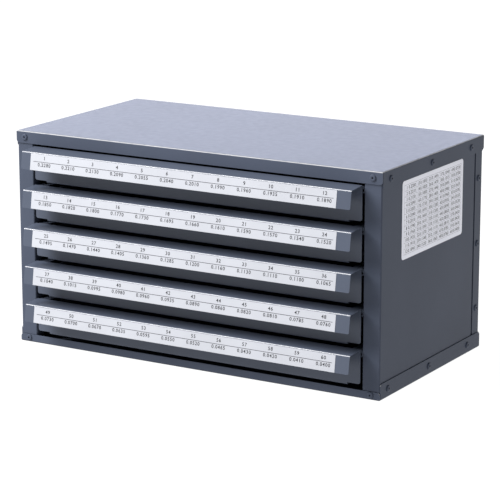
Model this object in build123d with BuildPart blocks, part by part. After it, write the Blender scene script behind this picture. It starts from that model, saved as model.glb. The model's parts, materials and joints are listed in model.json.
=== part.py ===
"""Drill bit drawer case: a folded steel cabinet with five shallow sliding drawers.

Millimetres. X runs to the right seen from the front, Y to the back, Z up. The origin
is the centre of the cabinet's base, on the surface that it stands on.
"""

from build123d import *

import os
from math import cos, radians, sin, tan

# ---------------------------------------------------------------- cabinet
case_width = 376.0
case_depth = 198.0
case_height = 199.0
case_sheet = 0.8  # thickness of the cabinet's steel
case_bend = 0.5  # inside radius of its folds
side_flange = 14.6  # height of the side and rear flanges of the cover and the base pan
cover_front_flange = 11.2
base_front_flange = 7.2
corner_seam = 0.5  # gap between two flanges at a corner
flange_rounding = 3.0  # rounding of a flange's free corners
post_width = 16.7  # front post, folded in from the side panel
post_return = 10.0  # fold at the post's inner edge, running back
rear_strip = 13.8  # side strip of the back panel, folded forward
joggle_run = 1.6  # length over which the side panel steps in under that strip
joggle_gap = 1.3  # from the end of the step to the strip

# ---------------------------------------------------------------- rivets
rivet_head = 6.0
rivet_head_height = 1.1
rivet_dome = 0.95  # rounding of the head's edge
rivet_shank = 3.0
rivet_recess = 1.8  # hollow left by the pulled mandrel
rivet_recess_depth = 0.8
rivet_tail = 4.6
rivet_tail_length = 1.6
rivet_clearance = 0.05
side_rivet_first = 15.2  # from the front
side_rivet_pitch = 78.4
side_rivet_height = 7.8  # from the nearer of top and bottom
post_rivet_inset = 9.2  # from the side
cover_post_rivet_height = 5.6
base_post_rivet_height = 4.2
rear_rivet_pitch = 120.0
strip_rivet_inset = 8.3  # from the back
strip_rivet_pitch = 60.7

# ---------------------------------------------------------------- drawers
drawer_count = 5
front_sheet = 0.8
tray_sheet = 0.6  # thickness of the tray, its liner and the dividers
drawer_bend = 0.4
top_gap = 1.9  # from the cover's front flange to the first drawer
bottom_gap = 2.9  # from the last drawer to the base pan's front flange
drawer_gap = 2.65
side_gap = 2.0  # from a drawer's front to a post
ledge_reach = 19.2  # how far the ledge stands out
ledge_slope = 4.0  # degrees down towards the front
lip_length = 15.8
lip_lean = 8.4  # degrees, out at the bottom
lip_rounding = 1.5
wing_width = 12.5  # what the front covers on each side of the tray
wing_notch = 2.0  # how much shorter the front is there
wing_rounding = 2.0
front_return = 12.0  # fold under the tray's floor
tray_length = 180.0
tray_headroom = 5.1  # from the ledge down to the top of the tray
slide_flange = 11.2
drawer_travel = 125.0

compartments = 12
liner_side_clearance = 0.4  # to the tray's side folds
liner_upright = 7.3  # straight part of the liner's front, above its curve
liner_rear_radius = 8.0
liner_top_clearance = 1.2
divider_top_clearance = 2.0
divider_rounding = 3.0
divider_bend_clearance = 1.0

strip_length = 313.6  # number strip on the lip
strip_shift = -1.7
strip_sheet = 0.2
strip_edge = 0.1

# ---------------------------------------------------------------- runners
runner_sheet = 1.0
runner_bend = 0.5
runner_flange = 12.0
runner_slack = 0.3  # under the drawer's slide flange
runner_headroom = 2.9  # above it
runner_front_gap = 0.6  # to the drawer's front
stop_drop = 1.7  # the stop reaches down by this much
stop_clearance = 0.3
ear_clearance = 0.5
ear_width = 6.0
foot_width = 13.0
foot_height = 10.0
foot_length = 14.0

# ---------------------------------------------------------------- side label
side_label_length = 118.4
side_label_height = 68.8
side_label_front = 38.2  # from the cabinet's front
side_label_gap = 0.4  # below the cover's flange
side_label_rounding = 3.0
side_label_sheet = 0.2

# ---------------------------------------------------------------- worked out
front = -case_depth / 2
rear = case_depth / 2
panel_x = case_width / 2 - case_sheet  # outer face of the side panels
panel_foot = case_sheet + case_bend  # the panels stand just above the pan's fold
panel_height = case_height - 2 * panel_foot
post_front = front + case_sheet
back_inner = rear - 2 * case_sheet
opening_x = case_width / 2 - case_sheet - post_width
strip_front = rear - case_sheet - rear_strip

face_back = post_front + front_sheet
front_x = opening_x - side_gap
tray_x = front_x - wing_width
opening_height = case_height - cover_front_flange - base_front_flange
fronts_height = opening_height - top_gap - bottom_gap - (drawer_count - 1) * drawer_gap
front_height = fronts_height / drawer_count
drawer_pitch = front_height + drawer_gap
tray_floor = front_sheet - front_height  # heights are measured from the ledge
tray_top = -tray_headroom
tray_front = face_back + drawer_bend  # clear of the fold under the face
tray_rear = face_back + tray_length
tray_inner_x = tray_x - tray_sheet
compartment_pitch = 2 * tray_inner_x / compartments
liner_height = tray_top - liner_top_clearance - tray_floor - tray_sheet
liner_front_radius = liner_height - liner_upright
slide_x = tray_x + slide_flange
slide_under = tray_top - tray_sheet

runner_x = opening_x
runner_low = slide_under - runner_slack - runner_sheet
runner_high = tray_top + runner_headroom + runner_sheet
runner_front = face_back + runner_front_gap
stop_back = runner_front + runner_sheet

pan_grip = 2 * case_sheet  # what the rivets of the pans and strips hold together
foot_grip = case_sheet + runner_sheet
nearly = 0.001  # how close two lengths or places must be to count as the same


def is_length(edge, length):
    """Whether an edge has this length, as the short edges across a sheet do."""
    return abs(edge.length - length) < nearly


def save(piece, name):
    """Names a finished piece and writes its file."""
    piece.label = name
    export_step(piece, f"parts/{name}.step")


def folded_section(plane, corners, bend, sheet):
    """Cross-section of a folded sheet: corners lie on its middle, bend is the inside radius."""
    with BuildSketch(plane) as section:
        with BuildLine():
            FilletPolyline(*corners, radius=bend + sheet / 2)
        trace(line_width=sheet)
    return section.sketch


# ---------------------------------------------------------------- rivets


def outward(x, y, z, direction):
    """A plane on a panel's outer face, looking away from the cabinet."""
    return Plane(origin=(x, y, z), x_dir=(0, 0, 1), z_dir=direction)


def pan_rivet_sites(post_height, side_height):
    """Where a pan is riveted: 2 in front, 3 on each side and 3 at the rear."""
    post_x = case_width / 2 - post_rivet_inset
    sites = [outward(side * post_x, front, post_height, (0, -1, 0)) for side in (-1, 1)]
    for side in (-1, 1):
        for step in (0, 1, 2):
            y = front + side_rivet_first + step * side_rivet_pitch
            sites.append(outward(side * case_width / 2, y, side_height, (side, 0, 0)))
    for step in (-1, 0, 1):
        sites.append(outward(step * rear_rivet_pitch, rear, side_height, (0, 1, 0)))
    return sites


def strip_rivet_sites():
    """Where the back panel's strips are riveted to the side panels."""
    y = rear - strip_rivet_inset
    heights = [case_height / 2 + step * strip_rivet_pitch for step in (-1, 0, 1)]
    return [
        outward(side * panel_x, y, z, (side, 0, 0)) for side in (-1, 1) for z in heights
    ]


def foot_rivet_site(side, ledge):
    """Where a runner's foot is riveted to the back panel."""
    x = side * (runner_x + foot_width / 2)
    z = ledge + runner_high - foot_height / 2
    return outward(x, rear - case_sheet, z, (0, 1, 0))


def drill(sites):
    """Rivet holes through a panel, or through the sheet behind it."""
    with Locations(*sites):
        Hole(rivet_shank / 2 + rivet_clearance, depth=pan_grip + foot_grip)


def rivet_group(sites, grip):
    """Pulled rivets: domed head with a hollow, shank, and the tail behind the sheets."""
    with BuildPart() as rivet:
        Cylinder(rivet_head / 2, rivet_head_height, align=(Align.CENTER, Align.CENTER, Align.MIN))
        fillet(rivet.edges().sort_by(Axis.Z)[-1], radius=rivet_dome)
        with Locations((0, 0, -grip)):
            Cylinder(rivet_shank / 2, grip, align=(Align.CENTER, Align.CENTER, Align.MIN))
        with Locations((0, 0, -grip - rivet_tail_length)):
            Cylinder(rivet_tail / 2, rivet_tail_length, align=(Align.CENTER, Align.CENTER, Align.MIN))
        with Locations((0, 0, rivet_head_height)):
            Hole(rivet_recess / 2, depth=rivet_recess_depth)
    with BuildPart() as group:
        with Locations(*sites):
            add(rivet.part)
    return group.part


# ---------------------------------------------------------------- cabinet


def folded_pan(front_flange):
    """A shallow pan that lies on z = 0 with its flanges turned up."""
    fold = case_bend + case_sheet
    with BuildPart() as pan:
        with BuildSketch():
            Rectangle(case_width, case_depth)
        extrude(amount=side_flange)
        fillet(pan.faces().sort_by(Axis.Z)[0].edges(), radius=fold)
        offset(amount=-case_sheet, openings=pan.faces().sort_by(Axis.Z)[-1])
        # seams, where a side flange ends behind the front or rear one
        with BuildSketch(Plane.XY.offset(fold)):
            seam_y = case_depth - 2 * case_sheet - corner_seam
            with GridLocations(case_width - case_sheet, seam_y, 2, 2):
                Rectangle(case_sheet, corner_seam)
        extrude(amount=side_flange, mode=Mode.SUBTRACT)
        # the front flange is lower than the others
        with BuildSketch(Plane.XY.offset(front_flange)):
            with Locations((0, front + (case_sheet + corner_seam) / 2)):
                Rectangle(case_width, case_sheet + corner_seam)
        extrude(amount=side_flange, mode=Mode.SUBTRACT)
        free_corners = pan.edges().filter_by(
            lambda edge: edge.center().Z > front_flange - nearly and is_length(edge, case_sheet)
        )
        fillet(free_corners, radius=flange_rounding)
    return pan.part


def side_panel(side):
    """Side panel with its front post, and a step under the back panel's strip."""
    middle = case_sheet / 2
    x = panel_x - middle
    post_y = post_front + middle
    return_x = opening_x + middle
    step_end = strip_front - joggle_gap
    corners = [
        (side * return_x, post_front + post_return),
        (side * return_x, post_y),
        (side * x, post_y),
        (side * x, step_end - joggle_run),
        (side * (x - case_sheet), step_end),
        (side * (x - case_sheet), back_inner - case_bend),
    ]
    with BuildPart() as panel:
        extrude(
            folded_section(Plane.XY.offset(panel_foot), corners, case_bend, case_sheet),
            amount=panel_height,
        )
        drill(cover_rivet_sites)
        drill(base_rivet_sites)
        drill(strip_rivet_sites())
    return panel.part


def runner(side, ledge):
    """Channel that carries a drawer's slide flange, with a front stop and a rear foot."""
    middle = runner_sheet / 2
    web_x = runner_x - middle
    tip_x = runner_x - runner_flange
    low, high = ledge + runner_low, ledge + runner_high
    foot_y = back_inner - middle
    with BuildPart() as channel:
        corners = [
            (side * tip_x, low + middle),
            (side * web_x, low + middle),
            (side * web_x, high - middle),
            (side * tip_x, high - middle),
        ]
        start = Plane.XZ.offset(-runner_front)
        length = back_inner - foot_length - runner_front
        extrude(folded_section(start, corners, runner_bend, runner_sheet), amount=-length)
        # the stop closes the upper part of the channel's front end
        with BuildSketch(start):
            stop_width = runner_flange - runner_sheet
            with Locations((side * (tip_x + stop_width / 2), high - runner_sheet)):
                Rectangle(stop_width, stop_drop, align=(Align.CENTER, Align.MAX))
        extrude(amount=-runner_sheet)
        # the web runs on to the back panel and turns outward
        foot_corners = [
            (side * web_x, back_inner - foot_length),
            (side * web_x, foot_y),
            (side * (runner_x + foot_width), foot_y),
        ]
        foot_plane = Plane.XY.offset(high - foot_height)
        extrude(folded_section(foot_plane, foot_corners, runner_bend, runner_sheet), amount=foot_height)
        drill([foot_rivet_site(side, ledge)])
    return channel.part


# ---------------------------------------------------------------- drawers


def down_the_lip(ledge, distance):
    """Y and Z of a point on the middle of the lip's sheet, measured down from its fold."""
    y = post_front + front_sheet / 2 - ledge_reach
    z = ledge - front_sheet / 2 - ledge_reach * tan(radians(ledge_slope))
    lean = radians(lip_lean)
    return y - distance * sin(lean), z - distance * cos(lean)


def drawer_front(ledge):
    """Face, ledge and lip in one sheet, with a fold under the tray and a notch at each wing."""
    middle = front_sheet / 2
    bottom = ledge - front_height
    face_y = post_front + middle
    corners = [
        (face_back + front_return, bottom + middle),
        (face_y, bottom + middle),
        (face_y, ledge - middle),
        down_the_lip(ledge, 0),
        down_the_lip(ledge, lip_length),
    ]
    with BuildPart() as sheet:
        extrude(
            folded_section(Plane.YZ, corners, drawer_bend, front_sheet), amount=front_x, both=True
        )
        wing_x = front_x - wing_width / 2
        with BuildSketch(Plane.XY.offset(bottom)):
            with Locations((-wing_x, face_back), (wing_x, face_back)):
                Rectangle(wing_width, 2 * (front_return + front_sheet))
        extrude(amount=wing_notch, mode=Mode.SUBTRACT)
        end_edges = sheet.edges().filter_by(
            lambda edge: abs(edge.center().X) > front_x - nearly and is_length(edge, front_sheet)
        )
        fillet(end_edges.sort_by(Axis.Z)[:2], radius=wing_rounding)
        fillet(end_edges.sort_by(Axis.Y)[:2], radius=lip_rounding)
    return sheet.part


def number_strip(ledge):
    """Thin strip for the sizes, on the straight part of the lip."""
    lean = radians(lip_lean)
    turn = radians(90 - ledge_slope - lip_lean)
    fold = (drawer_bend + front_sheet / 2) * tan(turn / 2)
    height = lip_length - fold - strip_edge
    y, z = down_the_lip(ledge, fold + height / 2)
    middle_of_lip = Plane(
        origin=(strip_shift, y, z), x_dir=(1, 0, 0), z_dir=(0, -cos(lean), sin(lean))
    )
    with BuildPart() as strip:
        with BuildSketch(middle_of_lip.offset(front_sheet / 2)):
            Rectangle(strip_length, height)
        extrude(amount=strip_sheet)
    return strip.part


def drawer_tray(ledge):
    """Floor, sides, rear wall and slide flanges, with a bent-up stop ear on each flange."""
    middle = tray_sheet / 2
    floor = ledge + tray_floor
    top = ledge + tray_top
    wall_x = tray_x - middle
    corners = [
        (-slide_x, top - middle),
        (-wall_x, top - middle),
        (-wall_x, floor + middle),
        (wall_x, floor + middle),
        (wall_x, top - middle),
        (slide_x, top - middle),
    ]
    ear_front = stop_back + drawer_travel + stop_clearance
    ear_height = runner_headroom - ear_clearance
    with BuildPart() as tray:
        extrude(
            folded_section(Plane.XZ.offset(-tray_front), corners, drawer_bend, tray_sheet),
            amount=tray_front - tray_rear,
        )
        with BuildSketch(Plane.XZ.offset(-tray_rear)):
            with Locations((0, floor)):
                Rectangle(2 * wall_x, top - floor, align=(Align.CENTER, Align.MIN))
        extrude(amount=tray_sheet)
        with BuildSketch(Plane.XY.offset(top)):
            ear_x = 2 * slide_x - ear_width
            with Locations((0, ear_front)):
                with GridLocations(ear_x, 0, 2, 1):
                    Rectangle(ear_width, tray_sheet, align=(Align.CENTER, Align.MIN))
        extrude(amount=ear_height)
    return tray.part


def drawer_liner(ledge):
    """Sheet that lies in the tray: flat floor, round front and rear."""
    middle = tray_sheet / 2
    floor = ledge + tray_floor + tray_sheet + middle
    top = floor - middle + liner_height
    front_y = face_back + middle
    rear_y = tray_rear - tray_sheet - middle
    with BuildPart() as liner:
        with BuildSketch(Plane.YZ):
            with BuildLine():
                FilletPolyline(
                    (front_y, top),
                    (front_y, floor),
                    (rear_y, floor),
                    (rear_y, top),
                    radius=[liner_front_radius - middle, liner_rear_radius - middle],
                )
            trace(line_width=tray_sheet)
        liner_x = tray_inner_x - drawer_bend - liner_side_clearance
        extrude(amount=liner_x, both=True)
    return liner.part


def divider_plates(ledge):
    """Plates between the compartments, standing on the liner's floor."""
    floor = ledge + tray_floor + 2 * tray_sheet
    height = ledge + tray_top - divider_top_clearance - floor
    front_y = face_back + tray_sheet
    length = tray_length - 3 * tray_sheet
    front_radius = liner_front_radius - tray_sheet + divider_bend_clearance
    rear_radius = liner_rear_radius - tray_sheet + divider_bend_clearance
    with BuildPart() as plates:
        with BuildSketch(Plane.YZ) as outline:
            with Locations((front_y, floor)):
                Rectangle(length, height, align=Align.MIN)
            fillet(outline.vertices().group_by(Axis.Y)[-1], radius=divider_rounding)
            fillet(outline.vertices().group_by(Axis.Y)[0].sort_by(Axis.X)[-1], radius=rear_radius)
            fillet(outline.vertices().group_by(Axis.Y)[0].sort_by(Axis.X)[0], radius=front_radius)
        plate = extrude(amount=tray_sheet / 2, both=True, mode=Mode.PRIVATE)
        with GridLocations(compartment_pitch, 0, compartments - 1, 1):
            add(plate)
    return plates.part


# ---------------------------------------------------------------- making the pieces

base_rivet_sites = pan_rivet_sites(base_post_rivet_height, side_rivet_height)
cover_rivet_sites = pan_rivet_sites(
    case_height - cover_post_rivet_height, case_height - side_rivet_height
)
ledges = [
    case_height - cover_front_flange - top_gap - number * drawer_pitch
    for number in range(drawer_count)
]
foot_rivet_sites = [foot_rivet_site(side, ledge) for side in (-1, 1) for ledge in ledges]

os.makedirs("parts", exist_ok=True)

with BuildPart() as base_pan:
    add(folded_pan(base_front_flange))
    drill(base_rivet_sites)
save(base_pan.part, "base_pan")

with BuildPart() as top_cover:
    mirror(folded_pan(cover_front_flange), about=Plane.XY.offset(case_height / 2))
    drill(cover_rivet_sites)
save(top_cover.part, "top_cover")

save(side_panel(-1), "left_side_panel")
save(side_panel(1), "right_side_panel")

with BuildPart() as back_panel:
    sheet_x = panel_x - case_sheet / 2
    sheet_y = rear - case_sheet - case_sheet / 2
    back_corners = [
        (-sheet_x, strip_front),
        (-sheet_x, sheet_y),
        (sheet_x, sheet_y),
        (sheet_x, strip_front),
    ]
    back_section = folded_section(Plane.XY.offset(panel_foot), back_corners, case_bend, case_sheet)
    extrude(back_section, amount=panel_height)
    drill(base_rivet_sites)
    drill(cover_rivet_sites)
    drill(strip_rivet_sites())
    drill(foot_rivet_sites)
save(back_panel.part, "back_panel")

save(rivet_group(cover_rivet_sites, pan_grip), "top_cover_rivets")
save(rivet_group(base_rivet_sites, pan_grip), "base_pan_rivets")

with BuildPart() as back_panel_rivets:
    add(rivet_group(strip_rivet_sites(), pan_grip))
    add(rivet_group(foot_rivet_sites, foot_grip))
save(back_panel_rivets.part, "back_panel_rivets")

with BuildPart() as side_label:
    label_y = front + side_label_front + side_label_length / 2
    label_z = case_height - side_flange - side_label_gap - side_label_height / 2
    with BuildSketch(Plane.YZ.offset(panel_x)):
        with Locations((label_y, label_z)):
            RectangleRounded(side_label_length, side_label_height, side_label_rounding)
    extrude(amount=side_label_sheet)
save(side_label.part, "side_label")

for number, ledge in enumerate(ledges, start=1):
    save(runner(-1, ledge), f"runner_left_{number}")
    save(runner(1, ledge), f"runner_right_{number}")
    save(drawer_front(ledge), f"drawer_{number}_front")
    save(drawer_tray(ledge), f"drawer_{number}_tray")
    save(drawer_liner(ledge), f"drawer_{number}_liner")
    save(divider_plates(ledge), f"drawer_{number}_dividers")
    save(number_strip(ledge), f"drawer_{number}_number_strip")
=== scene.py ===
"""Looks of the drill bit drawer case: powder-coated steel, printed strips and a size chart.

Metres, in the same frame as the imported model: X right seen from the front, Y to the back, Z up.
"""

import json
from math import cos, pi, radians, sin

import bpy
from mathutils import Matrix, Vector


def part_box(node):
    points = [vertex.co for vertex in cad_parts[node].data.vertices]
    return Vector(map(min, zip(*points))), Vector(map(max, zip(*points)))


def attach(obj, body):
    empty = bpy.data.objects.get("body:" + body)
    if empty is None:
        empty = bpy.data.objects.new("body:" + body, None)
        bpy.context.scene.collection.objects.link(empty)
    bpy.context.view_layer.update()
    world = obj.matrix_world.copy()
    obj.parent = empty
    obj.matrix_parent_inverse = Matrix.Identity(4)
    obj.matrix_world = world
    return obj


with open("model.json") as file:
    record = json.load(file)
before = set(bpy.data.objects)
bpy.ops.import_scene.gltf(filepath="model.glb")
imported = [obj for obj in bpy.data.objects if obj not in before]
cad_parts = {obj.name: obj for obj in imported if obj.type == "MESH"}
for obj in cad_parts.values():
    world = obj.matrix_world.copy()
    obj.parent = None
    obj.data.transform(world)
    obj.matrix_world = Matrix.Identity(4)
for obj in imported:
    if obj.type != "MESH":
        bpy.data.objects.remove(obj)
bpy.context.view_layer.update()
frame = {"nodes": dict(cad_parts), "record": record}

MM = 0.001

# ---------------------------------------------------------------- camera, from the photograph
IMAGE_SIZE = 500  # pixels each way
FOCAL_PIXELS = 2284.75
SENSOR = 36.0  # millimetres
CAMERA_AZIMUTH = radians(30.696)  # to the right of straight ahead
CAMERA_ELEVATION = radians(13.57)
CAMERA_DISTANCE = 1.9801
CAMERA_TARGET = Vector((0.0597, -0.099, 0.1169))

# ---------------------------------------------------------------- floor and light
FLOOR_HALF = 9.0
FLOOR_DROP = 0.2 * MM  # how far it lies below the case
FLOOR_TONE = (0.08, 0.08, 0.08, 1)
FLOOR_GLOW = 1.0
FLOOR_ROUGHNESS = 0.9
SKY_COLOUR = (0.93, 0.95, 1.0, 1)
SKY_STRENGTH = 0.33
WHITE_LIGHT = (1, 1, 1)
COOL_LIGHT = (0.80, 0.83, 1.0)
# Of each softbox: its place, the point that it faces, its width, height, radiance and colour.
KEY_LIGHT = (-1.1, -1.1, 1.71), (0, 0, 0.15), 0.756, 1.99, 24.2, WHITE_LIGHT
BACK_LIGHT = (-1.6, 2.6, 1.1), (0, 0, 0.2), 3.6, 2.0, 2.6, COOL_LIGHT

# ---------------------------------------------------------------- what the strips and chart say
# Drill diameters of the number sizes 1 to 60, in ten-thousandths of an inch, one row a drawer.
DRILL_DIAMETERS = (
    (2280, 2210, 2130, 2090, 2055, 2040, 2010, 1990, 1960, 1935, 1910, 1890),
    (1850, 1820, 1800, 1770, 1730, 1695, 1660, 1610, 1590, 1570, 1540, 1520),
    (1495, 1470, 1440, 1405, 1360, 1285, 1200, 1160, 1130, 1110, 1100, 1065),
    (1040, 1015, 995, 980, 960, 935, 890, 860, 820, 810, 785, 760),
    (730, 700, 670, 635, 595, 550, 520, 465, 430, 420, 410, 400),
)
DRAWERS = len(DRILL_DIAMETERS)
PER_DRAWER = len(DRILL_DIAMETERS[0])

# ---------------------------------------------------------------- sizes of the printing
LIP_LEAN = radians(8.4)
FILM = 0.2 * MM  # thickness of the strips and the label
INK_LIFT = 0.02 * MM  # how far the ink stands off the film
FIGURE_HEIGHT = 3.1 * MM
FIGURE_BOLDNESS = 0.017  # added all round a stroke, in the font's units
FIGURE_STEPS = 3  # straight pieces in each curve of an outline
FIGURE_ADVANCE = 2.6 * MM  # from one figure to the next
POINT_ADVANCE = 1.3 * MM
STRIP_PITCH = 26.1 * MM
STRIP_MIDDLE = 0.2 * MM  # where the row of numbers is centred along X
NUMBER_DOWN = 3.4 * MM  # below the strip's top edge, as the next two
RULE_DOWN = 7.0 * MM
SIZE_DOWN = 9.5 * MM
RULE_HALF = 153.8 * MM
RULE_MIDDLE = -1.5 * MM
RULE_WIDTH = 0.5 * MM

CHART_MARGIN = 4.0 * MM
CHART_FIGURE = 2.9 * MM
CHART_RULE = 0.18 * MM
CHART_NUMBER_AT = 0.2  # across its column, as a share of it
CHART_SIZE_AT = 0.63

# ---------------------------------------------------------------- paint, film and ink
# Colours are linear. A noise is its cells a metre and its detail.
SLATE = (0.062, 0.073, 0.102)
# Painted light: the case's slate made a little lighter for the drawers, standing in for light
# their ledges lack.
LIT_DRAWER_SLATE = (0.066, 0.078, 0.108)
CASE_FOLD_HIGHLIGHT = (0.36, 0.36, 0.37)  # painted highlight on the upper bends
DRAWER_FOLD_HIGHLIGHT = (0.36, 0.365, 0.39)
STRIP_WHITE = (0.43, 0.44, 0.475)
LABEL_WHITE = (0.89, 0.895, 0.97)
BLACK = (0.012, 0.012, 0.015)
GREY = (0.05, 0.05, 0.06)

CASE_SPECULAR = 0.06
DRAWER_SPECULAR = 0.28
INSIDE_SPECULAR = 0.3
FILM_SPECULAR = 0.4
INK_SPECULAR = 0.3
STRIP_ROUGHNESS = 0.42
LABEL_ROUGHNESS = 0.45
INK_ROUGHNESS = 0.5

NOISE_MIDDLE = (0.3, 0.7)  # what most of a noise lies between

COAT_ROUGHNESS = 0.3
COAT_UNEVEN = 0.02  # how far its roughness strays
COAT_GLOSS_NOISE = (160, 3)
COAT_MOTTLE = 0.07  # how far its tone strays, as a share
COAT_MOTTLE_NOISE = (11, 3)
PEEL_NOISE = (1900, 1.5)
PEEL_STRENGTH = 0.06
PEEL_DEPTH = 0.08 * MM

# Sharp edges are drawn lighter: partly wear, partly a painted highlight.
EDGE_RADIUS = 0.35 * MM
EDGE_SAMPLES = 6
EDGE_COSINES = (0.995, 0.85)  # between the flat and the softened normal, on a face and an edge
EDGE_BREAKS_NOISE = (260, 3)
EDGE_BREAKS = (0.35, 0.65)
EDGE_SHARE_NOISE = (40, 2)
EDGE_LIGHTER = (1.9, 0.02)  # times the first, plus the second

# Painted highlight: the upper bends are drawn much lighter, and a little smoother.
FOLD_TILTS = (0.96, 0.86)  # the normal's largest part, on a flat face and on a fold
FOLD_UPWARD = (0.1, 0.3)
FOLD_NOISE = (120, 3)
FOLD_BREAKS = (0.2, 0.5)
FOLD_LEAST = 0.55  # what is left of the painted highlight where the noise is low
FOLD_SMOOTHER = 0.1

# Painted shade: narrow corners and seams are drawn darker, as shade falls there.
CORNER_REACH = 2.0 * MM
CORNER_SAMPLES = 8
CORNER_OPENNESS = (0.7, 0.4)  # in the open and deep in a corner
CORNER_SHADE_GAIN = 0.22

RUB_NOISE = (300, 4, 0.6, (1, 0.03, 1))  # also its roughness and stretch
RUB_SPAN = (0.56, 0.72)
RUB_SHARE = 0.5
RUB_LIGHTER = (2.4, 0.03)

FILM_SHADE = 0.955
FILM_MOTTLE_NOISE = (24, 3)
FILM_MOTTLE = (0.35, 0.65)
FILM_WAVE_NOISE = (90, 2)
FILM_WAVE_STRENGTH = 0.1
FILM_WAVE_DEPTH = 0.15 * MM
FILM_GLOSS_NOISE = (420, 2)
FILM_UNEVEN = 0.05

INK_THIN = (1.5, 0.02)  # times the first, plus the second, where the ink is thin
INK_THIN_NOISE = (900, 2)
INK_THIN_SPAN = (0.4, 0.75)

# A Mix node's two colours and its blended colour share their names with its other sockets.
MIX_COLOURS = (6, 7)
MIX_RESULT = 2


# ---------------------------------------------------------------- materials


def tinted(colour, gain, lift=0.0):
    """A colour times gain, plus lift."""
    return tuple(min(1, part * gain + lift) for part in colour)


class Shader:
    """A Principled material whose nodes are added and linked by name."""

    def __init__(self, name, roughness, specular):
        self.material = bpy.data.materials.new(name)
        self.material.use_nodes = True
        self.tree = self.material.node_tree
        self.surface = self.tree.nodes["Principled BSDF"]
        self.surface.inputs["Roughness"].default_value = roughness
        self.surface.inputs["Specular IOR Level"].default_value = specular
        self.place = self.add("ShaderNodeTexCoord").outputs["Object"]

    def add(self, kind, settings=None, **inputs):
        """Adds a node; an input is a value or another node's output."""
        node = self.tree.nodes.new(kind)
        for key, value in (settings or {}).items():
            setattr(node, key, value)
        for key, value in inputs.items():
            self.feed(node.inputs[key.replace("_", " ")], value)
        return node

    def feed(self, socket, value):
        """Links another node's output to a socket, or sets the socket to a value."""
        if isinstance(value, bpy.types.NodeSocket):
            self.tree.links.new(value, socket)
        else:
            socket.default_value = value

    def noise(self, scale, detail, roughness=0.5, stretch=(1, 1, 1)):
        """Noise from 0 to 1, with scale in cells a metre."""
        mapping = self.add("ShaderNodeMapping", Vector=self.place, Scale=stretch)
        texture = self.add(
            "ShaderNodeTexNoise",
            Vector=mapping.outputs["Vector"],
            Scale=scale,
            Detail=detail,
            Roughness=roughness,
        )
        return texture.outputs["Fac"]

    def spread(self, value, span, to_low=0, to_high=1):
        """Maps the span to to_low..to_high and clamps it."""
        node = self.add(
            "ShaderNodeMapRange",
            {"clamp": True},
            From_Min=span[0],
            From_Max=span[1],
            To_Min=to_low,
            To_Max=to_high,
            Value=value,
        )
        return node.outputs["Result"]

    def combine(self, operation, first, second):
        node = self.add("ShaderNodeMath", {"operation": operation})
        self.tree.links.new(first, node.inputs[0])
        self.tree.links.new(second, node.inputs[1])
        return node.outputs["Value"]

    def times(self, first, second):
        return self.combine("MULTIPLY", first, second)

    def mix(self, amount, first, second):
        """Blends two colours."""
        node = self.add("ShaderNodeMix", {"data_type": "RGBA"}, Factor=amount)
        for index, colour in zip(MIX_COLOURS, (first, second)):
            if not isinstance(colour, bpy.types.NodeSocket):
                colour = (*colour, 1)
            self.feed(node.inputs[index], colour)
        return node.outputs[MIX_RESULT]

    def set(self, **inputs):
        for key, value in inputs.items():
            self.feed(self.surface.inputs[key.replace("_", " ")], value)

    def edge_wear_and_highlight(self):
        """Mask of edge wear and painted highlight: 1 on sharp edges and 0 on flat faces, broken up
        by noise.
        """
        bevel = self.add("ShaderNodeBevel", {"samples": EDGE_SAMPLES}, Radius=EDGE_RADIUS)
        true_normal = self.add("ShaderNodeNewGeometry").outputs["Normal"]
        dot = self.add("ShaderNodeVectorMath", {"operation": "DOT_PRODUCT"})
        self.tree.links.new(bevel.outputs["Normal"], dot.inputs[0])
        self.tree.links.new(true_normal, dot.inputs[1])
        edge = self.spread(dot.outputs["Value"], EDGE_COSINES)
        return self.times(edge, self.spread(self.noise(*EDGE_BREAKS_NOISE), EDGE_BREAKS))

    def fold_highlight_mask(self):
        """Mask of the painted highlight: 1 on the upper bends of the sheet and 0 on its flat
        faces, broken up by noise.
        """
        parts = self.add(
            "ShaderNodeSeparateXYZ", Vector=self.add("ShaderNodeNewGeometry").outputs["Normal"]
        )
        sizes = [
            self.add("ShaderNodeMath", {"operation": "ABSOLUTE"}, Value=part).outputs["Value"]
            for part in parts.outputs
        ]
        largest = self.combine("MAXIMUM", self.combine("MAXIMUM", sizes[0], sizes[1]), sizes[2])
        fold = self.spread(largest, FOLD_TILTS)
        upward = self.spread(parts.outputs["Z"], FOLD_UPWARD)
        kept = self.spread(self.noise(*FOLD_NOISE), FOLD_BREAKS, FOLD_LEAST)
        return self.times(self.times(fold, upward), kept)

    def painted_corner_shade(self):
        """Mask of painted shade: 1 deep in corners and seams and 0 in the open."""
        hollow = self.add(
            "ShaderNodeAmbientOcclusion", {"samples": CORNER_SAMPLES}, Distance=CORNER_REACH
        )
        return self.spread(hollow.outputs["AO"], CORNER_OPENNESS)


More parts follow.
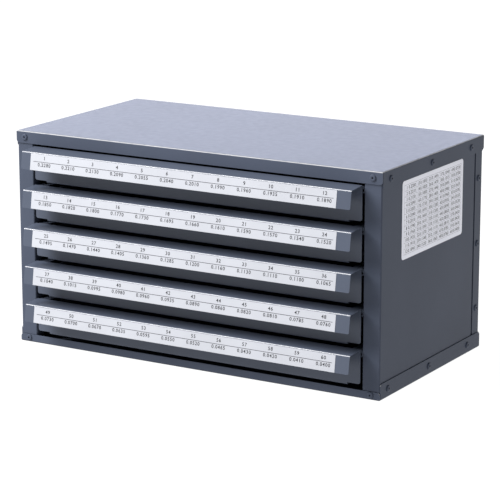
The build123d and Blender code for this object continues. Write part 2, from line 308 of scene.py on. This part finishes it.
def powder_coat(name, colour, specular, fold_highlight_colour=None, rubbed=0.0):
    """Satin powder coat: fine orange peel, lighter on its edges (partly wear, partly a painted
    highlight), with a painted highlight on its upper bends when given their colour, and painted
    shade in narrow corners.
    """
    coat = Shader(name, COAT_ROUGHNESS, specular)
    body = coat.mix(
        coat.spread(coat.noise(*COAT_MOTTLE_NOISE), NOISE_MIDDLE),
        tinted(colour, 1 - COAT_MOTTLE),
        tinted(colour, 1 + COAT_MOTTLE),
    )
    # Lighter sharp edges: partly wear, partly a painted highlight.
    edge = coat.times(coat.edge_wear_and_highlight(), coat.noise(*EDGE_SHARE_NOISE))
    body = coat.mix(edge, body, tinted(colour, *EDGE_LIGHTER))
    rough = coat.spread(
        coat.noise(*COAT_GLOSS_NOISE),
        NOISE_MIDDLE,
        COAT_ROUGHNESS - COAT_UNEVEN,
        COAT_ROUGHNESS + COAT_UNEVEN,
    )
    # Painted highlight on the upper bends; their roughness is lowered too.
    if fold_highlight_colour:
        fold = coat.fold_highlight_mask()
        body = coat.mix(fold, body, fold_highlight_colour)
        rough = coat.combine("SUBTRACT", rough, coat.spread(fold, (0, 1), 0, FOLD_SMOOTHER))
    if rubbed:
        rubs = coat.spread(coat.noise(*RUB_NOISE), RUB_SPAN, 0, rubbed)
        body = coat.mix(rubs, body, tinted(colour, *RUB_LIGHTER))
    # Painted shade: the coat is drawn darker deep in corners and seams.
    body = coat.mix(coat.painted_corner_shade(), body, tinted(colour, CORNER_SHADE_GAIN))
    peel = coat.add(
        "ShaderNodeBump",
        Height=coat.noise(*PEEL_NOISE),
        Strength=PEEL_STRENGTH,
        Distance=PEEL_DEPTH,
    )
    coat.set(Base_Color=body, Roughness=rough, Normal=peel.outputs["Normal"])
    return coat.material


def printed_film(name, colour, roughness):
    """Matt plastic film, faintly mottled, with the slight unevenness of its glue."""
    film = Shader(name, roughness, FILM_SPECULAR)
    mottle = film.spread(film.noise(*FILM_MOTTLE_NOISE), FILM_MOTTLE)
    waves = film.add(
        "ShaderNodeBump",
        Height=film.noise(*FILM_WAVE_NOISE),
        Strength=FILM_WAVE_STRENGTH,
        Distance=FILM_WAVE_DEPTH,
    )
    film.set(
        Base_Color=film.mix(mottle, colour, tinted(colour, FILM_SHADE)),
        Roughness=film.spread(
            film.noise(*FILM_GLOSS_NOISE),
            NOISE_MIDDLE,
            roughness - FILM_UNEVEN,
            roughness + FILM_UNEVEN,
        ),
        Normal=waves.outputs["Normal"],
    )
    return film.material


def ink(name, colour):
    """Printing ink, a little uneven."""
    dye = Shader(name, INK_ROUGHNESS, INK_SPECULAR)
    thin = dye.spread(dye.noise(*INK_THIN_NOISE), INK_THIN_SPAN)
    dye.set(Base_Color=dye.mix(thin, colour, tinted(colour, *INK_THIN)))
    return dye.material


paint = powder_coat("slate_powder_coat", SLATE, CASE_SPECULAR, CASE_FOLD_HIGHLIGHT)
rivet_paint = powder_coat("rivet_powder_coat", SLATE, CASE_SPECULAR)
drawer_paint = powder_coat("drawer_powder_coat", LIT_DRAWER_SLATE, DRAWER_SPECULAR, DRAWER_FOLD_HIGHLIGHT)
inside_paint = powder_coat("rubbed_powder_coat", SLATE, INSIDE_SPECULAR, rubbed=RUB_SHARE)
strip_film = printed_film("strip_film", STRIP_WHITE, STRIP_ROUGHNESS)
label_film = printed_film("label_film", LABEL_WHITE, LABEL_ROUGHNESS)
INKS = ink("black_ink", BLACK), ink("grey_ink", GREY)
FIGURE_INK, RULE_INK = range(len(INKS))

MATERIAL_OF_SLOT = {
    "cabinet": paint,
    "rivets": rivet_paint,
    "drawer_front": drawer_paint,
    "drawer_inside": inside_paint,
    "runners": inside_paint,
    "number_strip": strip_film,
    "side_label": label_film,
}
for subpart in frame["record"]["subparts"]:
    node = frame["nodes"][subpart["node"]]
    node.data.materials.clear()
    node.data.materials.append(MATERIAL_OF_SLOT[subpart["material_slot"]])


# ---------------------------------------------------------------- printing


def figure_shapes():
    """Flat outline of each figure, one unit high and standing on its base line."""
    shapes = {}
    for figure in "0123456789.":
        curve = bpy.data.curves.new("figure", "FONT")
        curve.body = figure
        curve.align_x = "CENTER"
        curve.resolution_u = FIGURE_STEPS
        curve.offset = FIGURE_BOLDNESS
        holder = bpy.data.objects.new("figure", curve)
        mesh = bpy.data.meshes.new_from_object(holder)
        points = [vertex.co.copy() for vertex in mesh.vertices]
        shapes[figure] = points, [tuple(face.vertices) for face in mesh.polygons]
        bpy.data.objects.remove(holder)
        bpy.data.curves.remove(curve)
        bpy.data.meshes.remove(mesh)
    unit = max(point.y for point in shapes["1"][0])
    return {
        figure: ([point / unit for point in points], faces)
        for figure, (points, faces) in shapes.items()
    }


FIGURES = figure_shapes()


class Print:
    """Ink on a flat sheet, gathered into one mesh: u runs across the sheet, v up it."""

    def __init__(self, corner, across, up):
        self.corner, self.across, self.up = corner, across, up
        self.out = across.cross(up)
        self.points, self.faces, self.inks = [], [], []

    def place(self, u, v):
        return self.corner + self.across * u + self.up * v + self.out * INK_LIFT

    def number(self, text, u, v, height):
        """Prints a number centred on u, v."""
        share = height / FIGURE_HEIGHT
        advances = [
            share * (POINT_ADVANCE if figure == "." else FIGURE_ADVANCE) for figure in text
        ]
        left = u - sum(advances) / 2
        base = v - height / 2
        for figure, advance in zip(text, advances):
            points, faces = FIGURES[figure]
            start = len(self.points)
            middle = left + advance / 2
            self.points += [self.place(middle + p.x * height, base + p.y * height) for p in points]
            self.faces += [tuple(start + index for index in face) for face in faces]
            self.inks += [FIGURE_INK] * len(faces)
            left += advance

    def size(self, drawer, place, number_at, diameter_at, height):
        """Prints a drill's size number and its diameter, each centred on its own point."""
        self.number(str((drawer - 1) * PER_DRAWER + place + 1), *number_at, height)
        self.number(f"0.{DRILL_DIAMETERS[drawer - 1][place]:04d}", *diameter_at, height)

    def bar(self, u0, v0, u1, v1):
        """Prints a filled bar between two corners."""
        start = len(self.points)
        self.points += [self.place(u, v) for u, v in ((u0, v0), (u1, v0), (u1, v1), (u0, v1))]
        self.faces.append(tuple(range(start, start + 4)))
        self.inks.append(RULE_INK)

    def finish(self, name, body):
        mesh = bpy.data.meshes.new(name)
        mesh.from_pydata(self.points, [], self.faces)
        for material in INKS:
            mesh.materials.append(material)
        mesh.polygons.foreach_set("material_index", self.inks)
        piece = bpy.data.objects.new(name, mesh)
        bpy.context.scene.collection.objects.link(piece)
        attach(piece, body)


def print_strip(drawer):
    """Number, rule and diameter for each size of a drawer, on its strip."""
    low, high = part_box(f"drawer_{drawer}_number_strip")
    up = Vector((0, sin(LIP_LEAN), cos(LIP_LEAN)))
    foot = low.z + FILM * sin(LIP_LEAN)
    top = (high.z - foot) / cos(LIP_LEAN)
    page = Print(Vector((0, low.y, foot)), Vector((1, 0, 0)), up)
    first = STRIP_MIDDLE - STRIP_PITCH * (PER_DRAWER - 1) / 2
    for place in range(PER_DRAWER):
        u = first + place * STRIP_PITCH
        page.size(drawer, place, (u, top - NUMBER_DOWN), (u, top - SIZE_DOWN), FIGURE_HEIGHT)
    page.bar(
        RULE_MIDDLE - RULE_HALF,
        top - RULE_DOWN - RULE_WIDTH / 2,
        RULE_MIDDLE + RULE_HALF,
        top - RULE_DOWN + RULE_WIDTH / 2,
    )
    page.finish(f"drawer_{drawer}_numbers", f"drawer_{drawer}")


def print_chart():
    """Plain table of all the sizes on the side label: a column a drawer, a row a place."""
    low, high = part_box("side_label")
    page = Print(Vector((high.x, low.y, low.z)), Vector((0, 1, 0)), Vector((0, 0, 1)))
    left, right = CHART_MARGIN, high.y - low.y - CHART_MARGIN
    foot, top = CHART_MARGIN, high.z - low.z - CHART_MARGIN
    column = (right - left) / DRAWERS
    row = (top - foot) / PER_DRAWER
    half = CHART_RULE / 2
    for line in range(PER_DRAWER + 1):
        v = foot + line * row
        page.bar(left, v - half, right, v + half)
    for line in range(DRAWERS + 1):
        u = left + line * column
        page.bar(u - half, foot, u + half, top)
    for drawer in range(1, DRAWERS + 1):
        u = left + (drawer - 1) * column
        for place in range(PER_DRAWER):
            v = top - (place + 0.5) * row
            number_at = u + column * CHART_NUMBER_AT, v
            diameter_at = u + column * CHART_SIZE_AT, v
            page.size(drawer, place, number_at, diameter_at, CHART_FIGURE)
    page.finish("side_label_chart", "case")


for drawer in range(1, DRAWERS + 1):
    print_strip(drawer)
print_chart()


# ---------------------------------------------------------------- floor, light and camera


def white_floor():
    """Wide pale floor that glows a little, so that it stays white all round."""
    mesh = bpy.data.meshes.new("floor")
    corners = [
        (x * FLOOR_HALF, y * FLOOR_HALF, -FLOOR_DROP)
        for x, y in ((-1, -1), (1, -1), (1, 1), (-1, 1))
    ]
    mesh.from_pydata(corners, [], [(0, 1, 2, 3)])
    floor = bpy.data.objects.new("floor", mesh)
    bpy.context.scene.collection.objects.link(floor)
    pale = Shader("pale_floor", FLOOR_ROUGHNESS, 0.0)
    pale.set(
        Base_Color=FLOOR_TONE,
        Emission_Color=(*WHITE_LIGHT, 1),
        Emission_Strength=FLOOR_GLOW,
    )
    mesh.materials.append(pale.material)


def softbox(name, place, aim, width, height, radiance, colour):
    """Rectangular area light of an even radiance."""
    light = bpy.data.lights.new(name, "AREA")
    light.shape = "RECTANGLE"
    light.size, light.size_y = width, height
    light.energy = radiance * width * height * pi
    light.color = colour
    lamp = bpy.data.objects.new(name, light)
    bpy.context.scene.collection.objects.link(lamp)
    lamp.location = place
    lamp.rotation_euler = (Vector(aim) - Vector(place)).to_track_quat("-Z", "Y").to_euler()
    lamp.visible_camera = False


def studio():
    world = bpy.data.worlds.new("studio")
    bpy.context.scene.world = world
    world.use_nodes = True
    background = world.node_tree.nodes["Background"]
    background.inputs["Color"].default_value = SKY_COLOUR
    background.inputs["Strength"].default_value = SKY_STRENGTH
    softbox("key", *KEY_LIGHT)
    softbox("back", *BACK_LIGHT)
    bpy.context.scene.view_settings.view_transform = "Standard"


def photo_camera():
    """Camera at the photograph's place, with the photograph's field of view."""
    back = Vector(
        (
            sin(CAMERA_AZIMUTH) * cos(CAMERA_ELEVATION),
            -cos(CAMERA_AZIMUTH) * cos(CAMERA_ELEVATION),
            sin(CAMERA_ELEVATION),
        )
    )
    right = Vector((cos(CAMERA_AZIMUTH), sin(CAMERA_AZIMUTH), 0))
    turn = Matrix((right, back.cross(right), back)).transposed()
    camera = bpy.data.cameras.new("camera")
    camera.sensor_width = SENSOR
    camera.lens = FOCAL_PIXELS * SENSOR / IMAGE_SIZE
    holder = bpy.data.objects.new("camera", camera)
    bpy.context.scene.collection.objects.link(holder)
    holder.matrix_world = Matrix.Translation(
        CAMERA_TARGET + back * CAMERA_DISTANCE
    ) @ turn.to_4x4()
    bpy.context.scene.camera = holder


white_floor()
studio()
photo_camera()
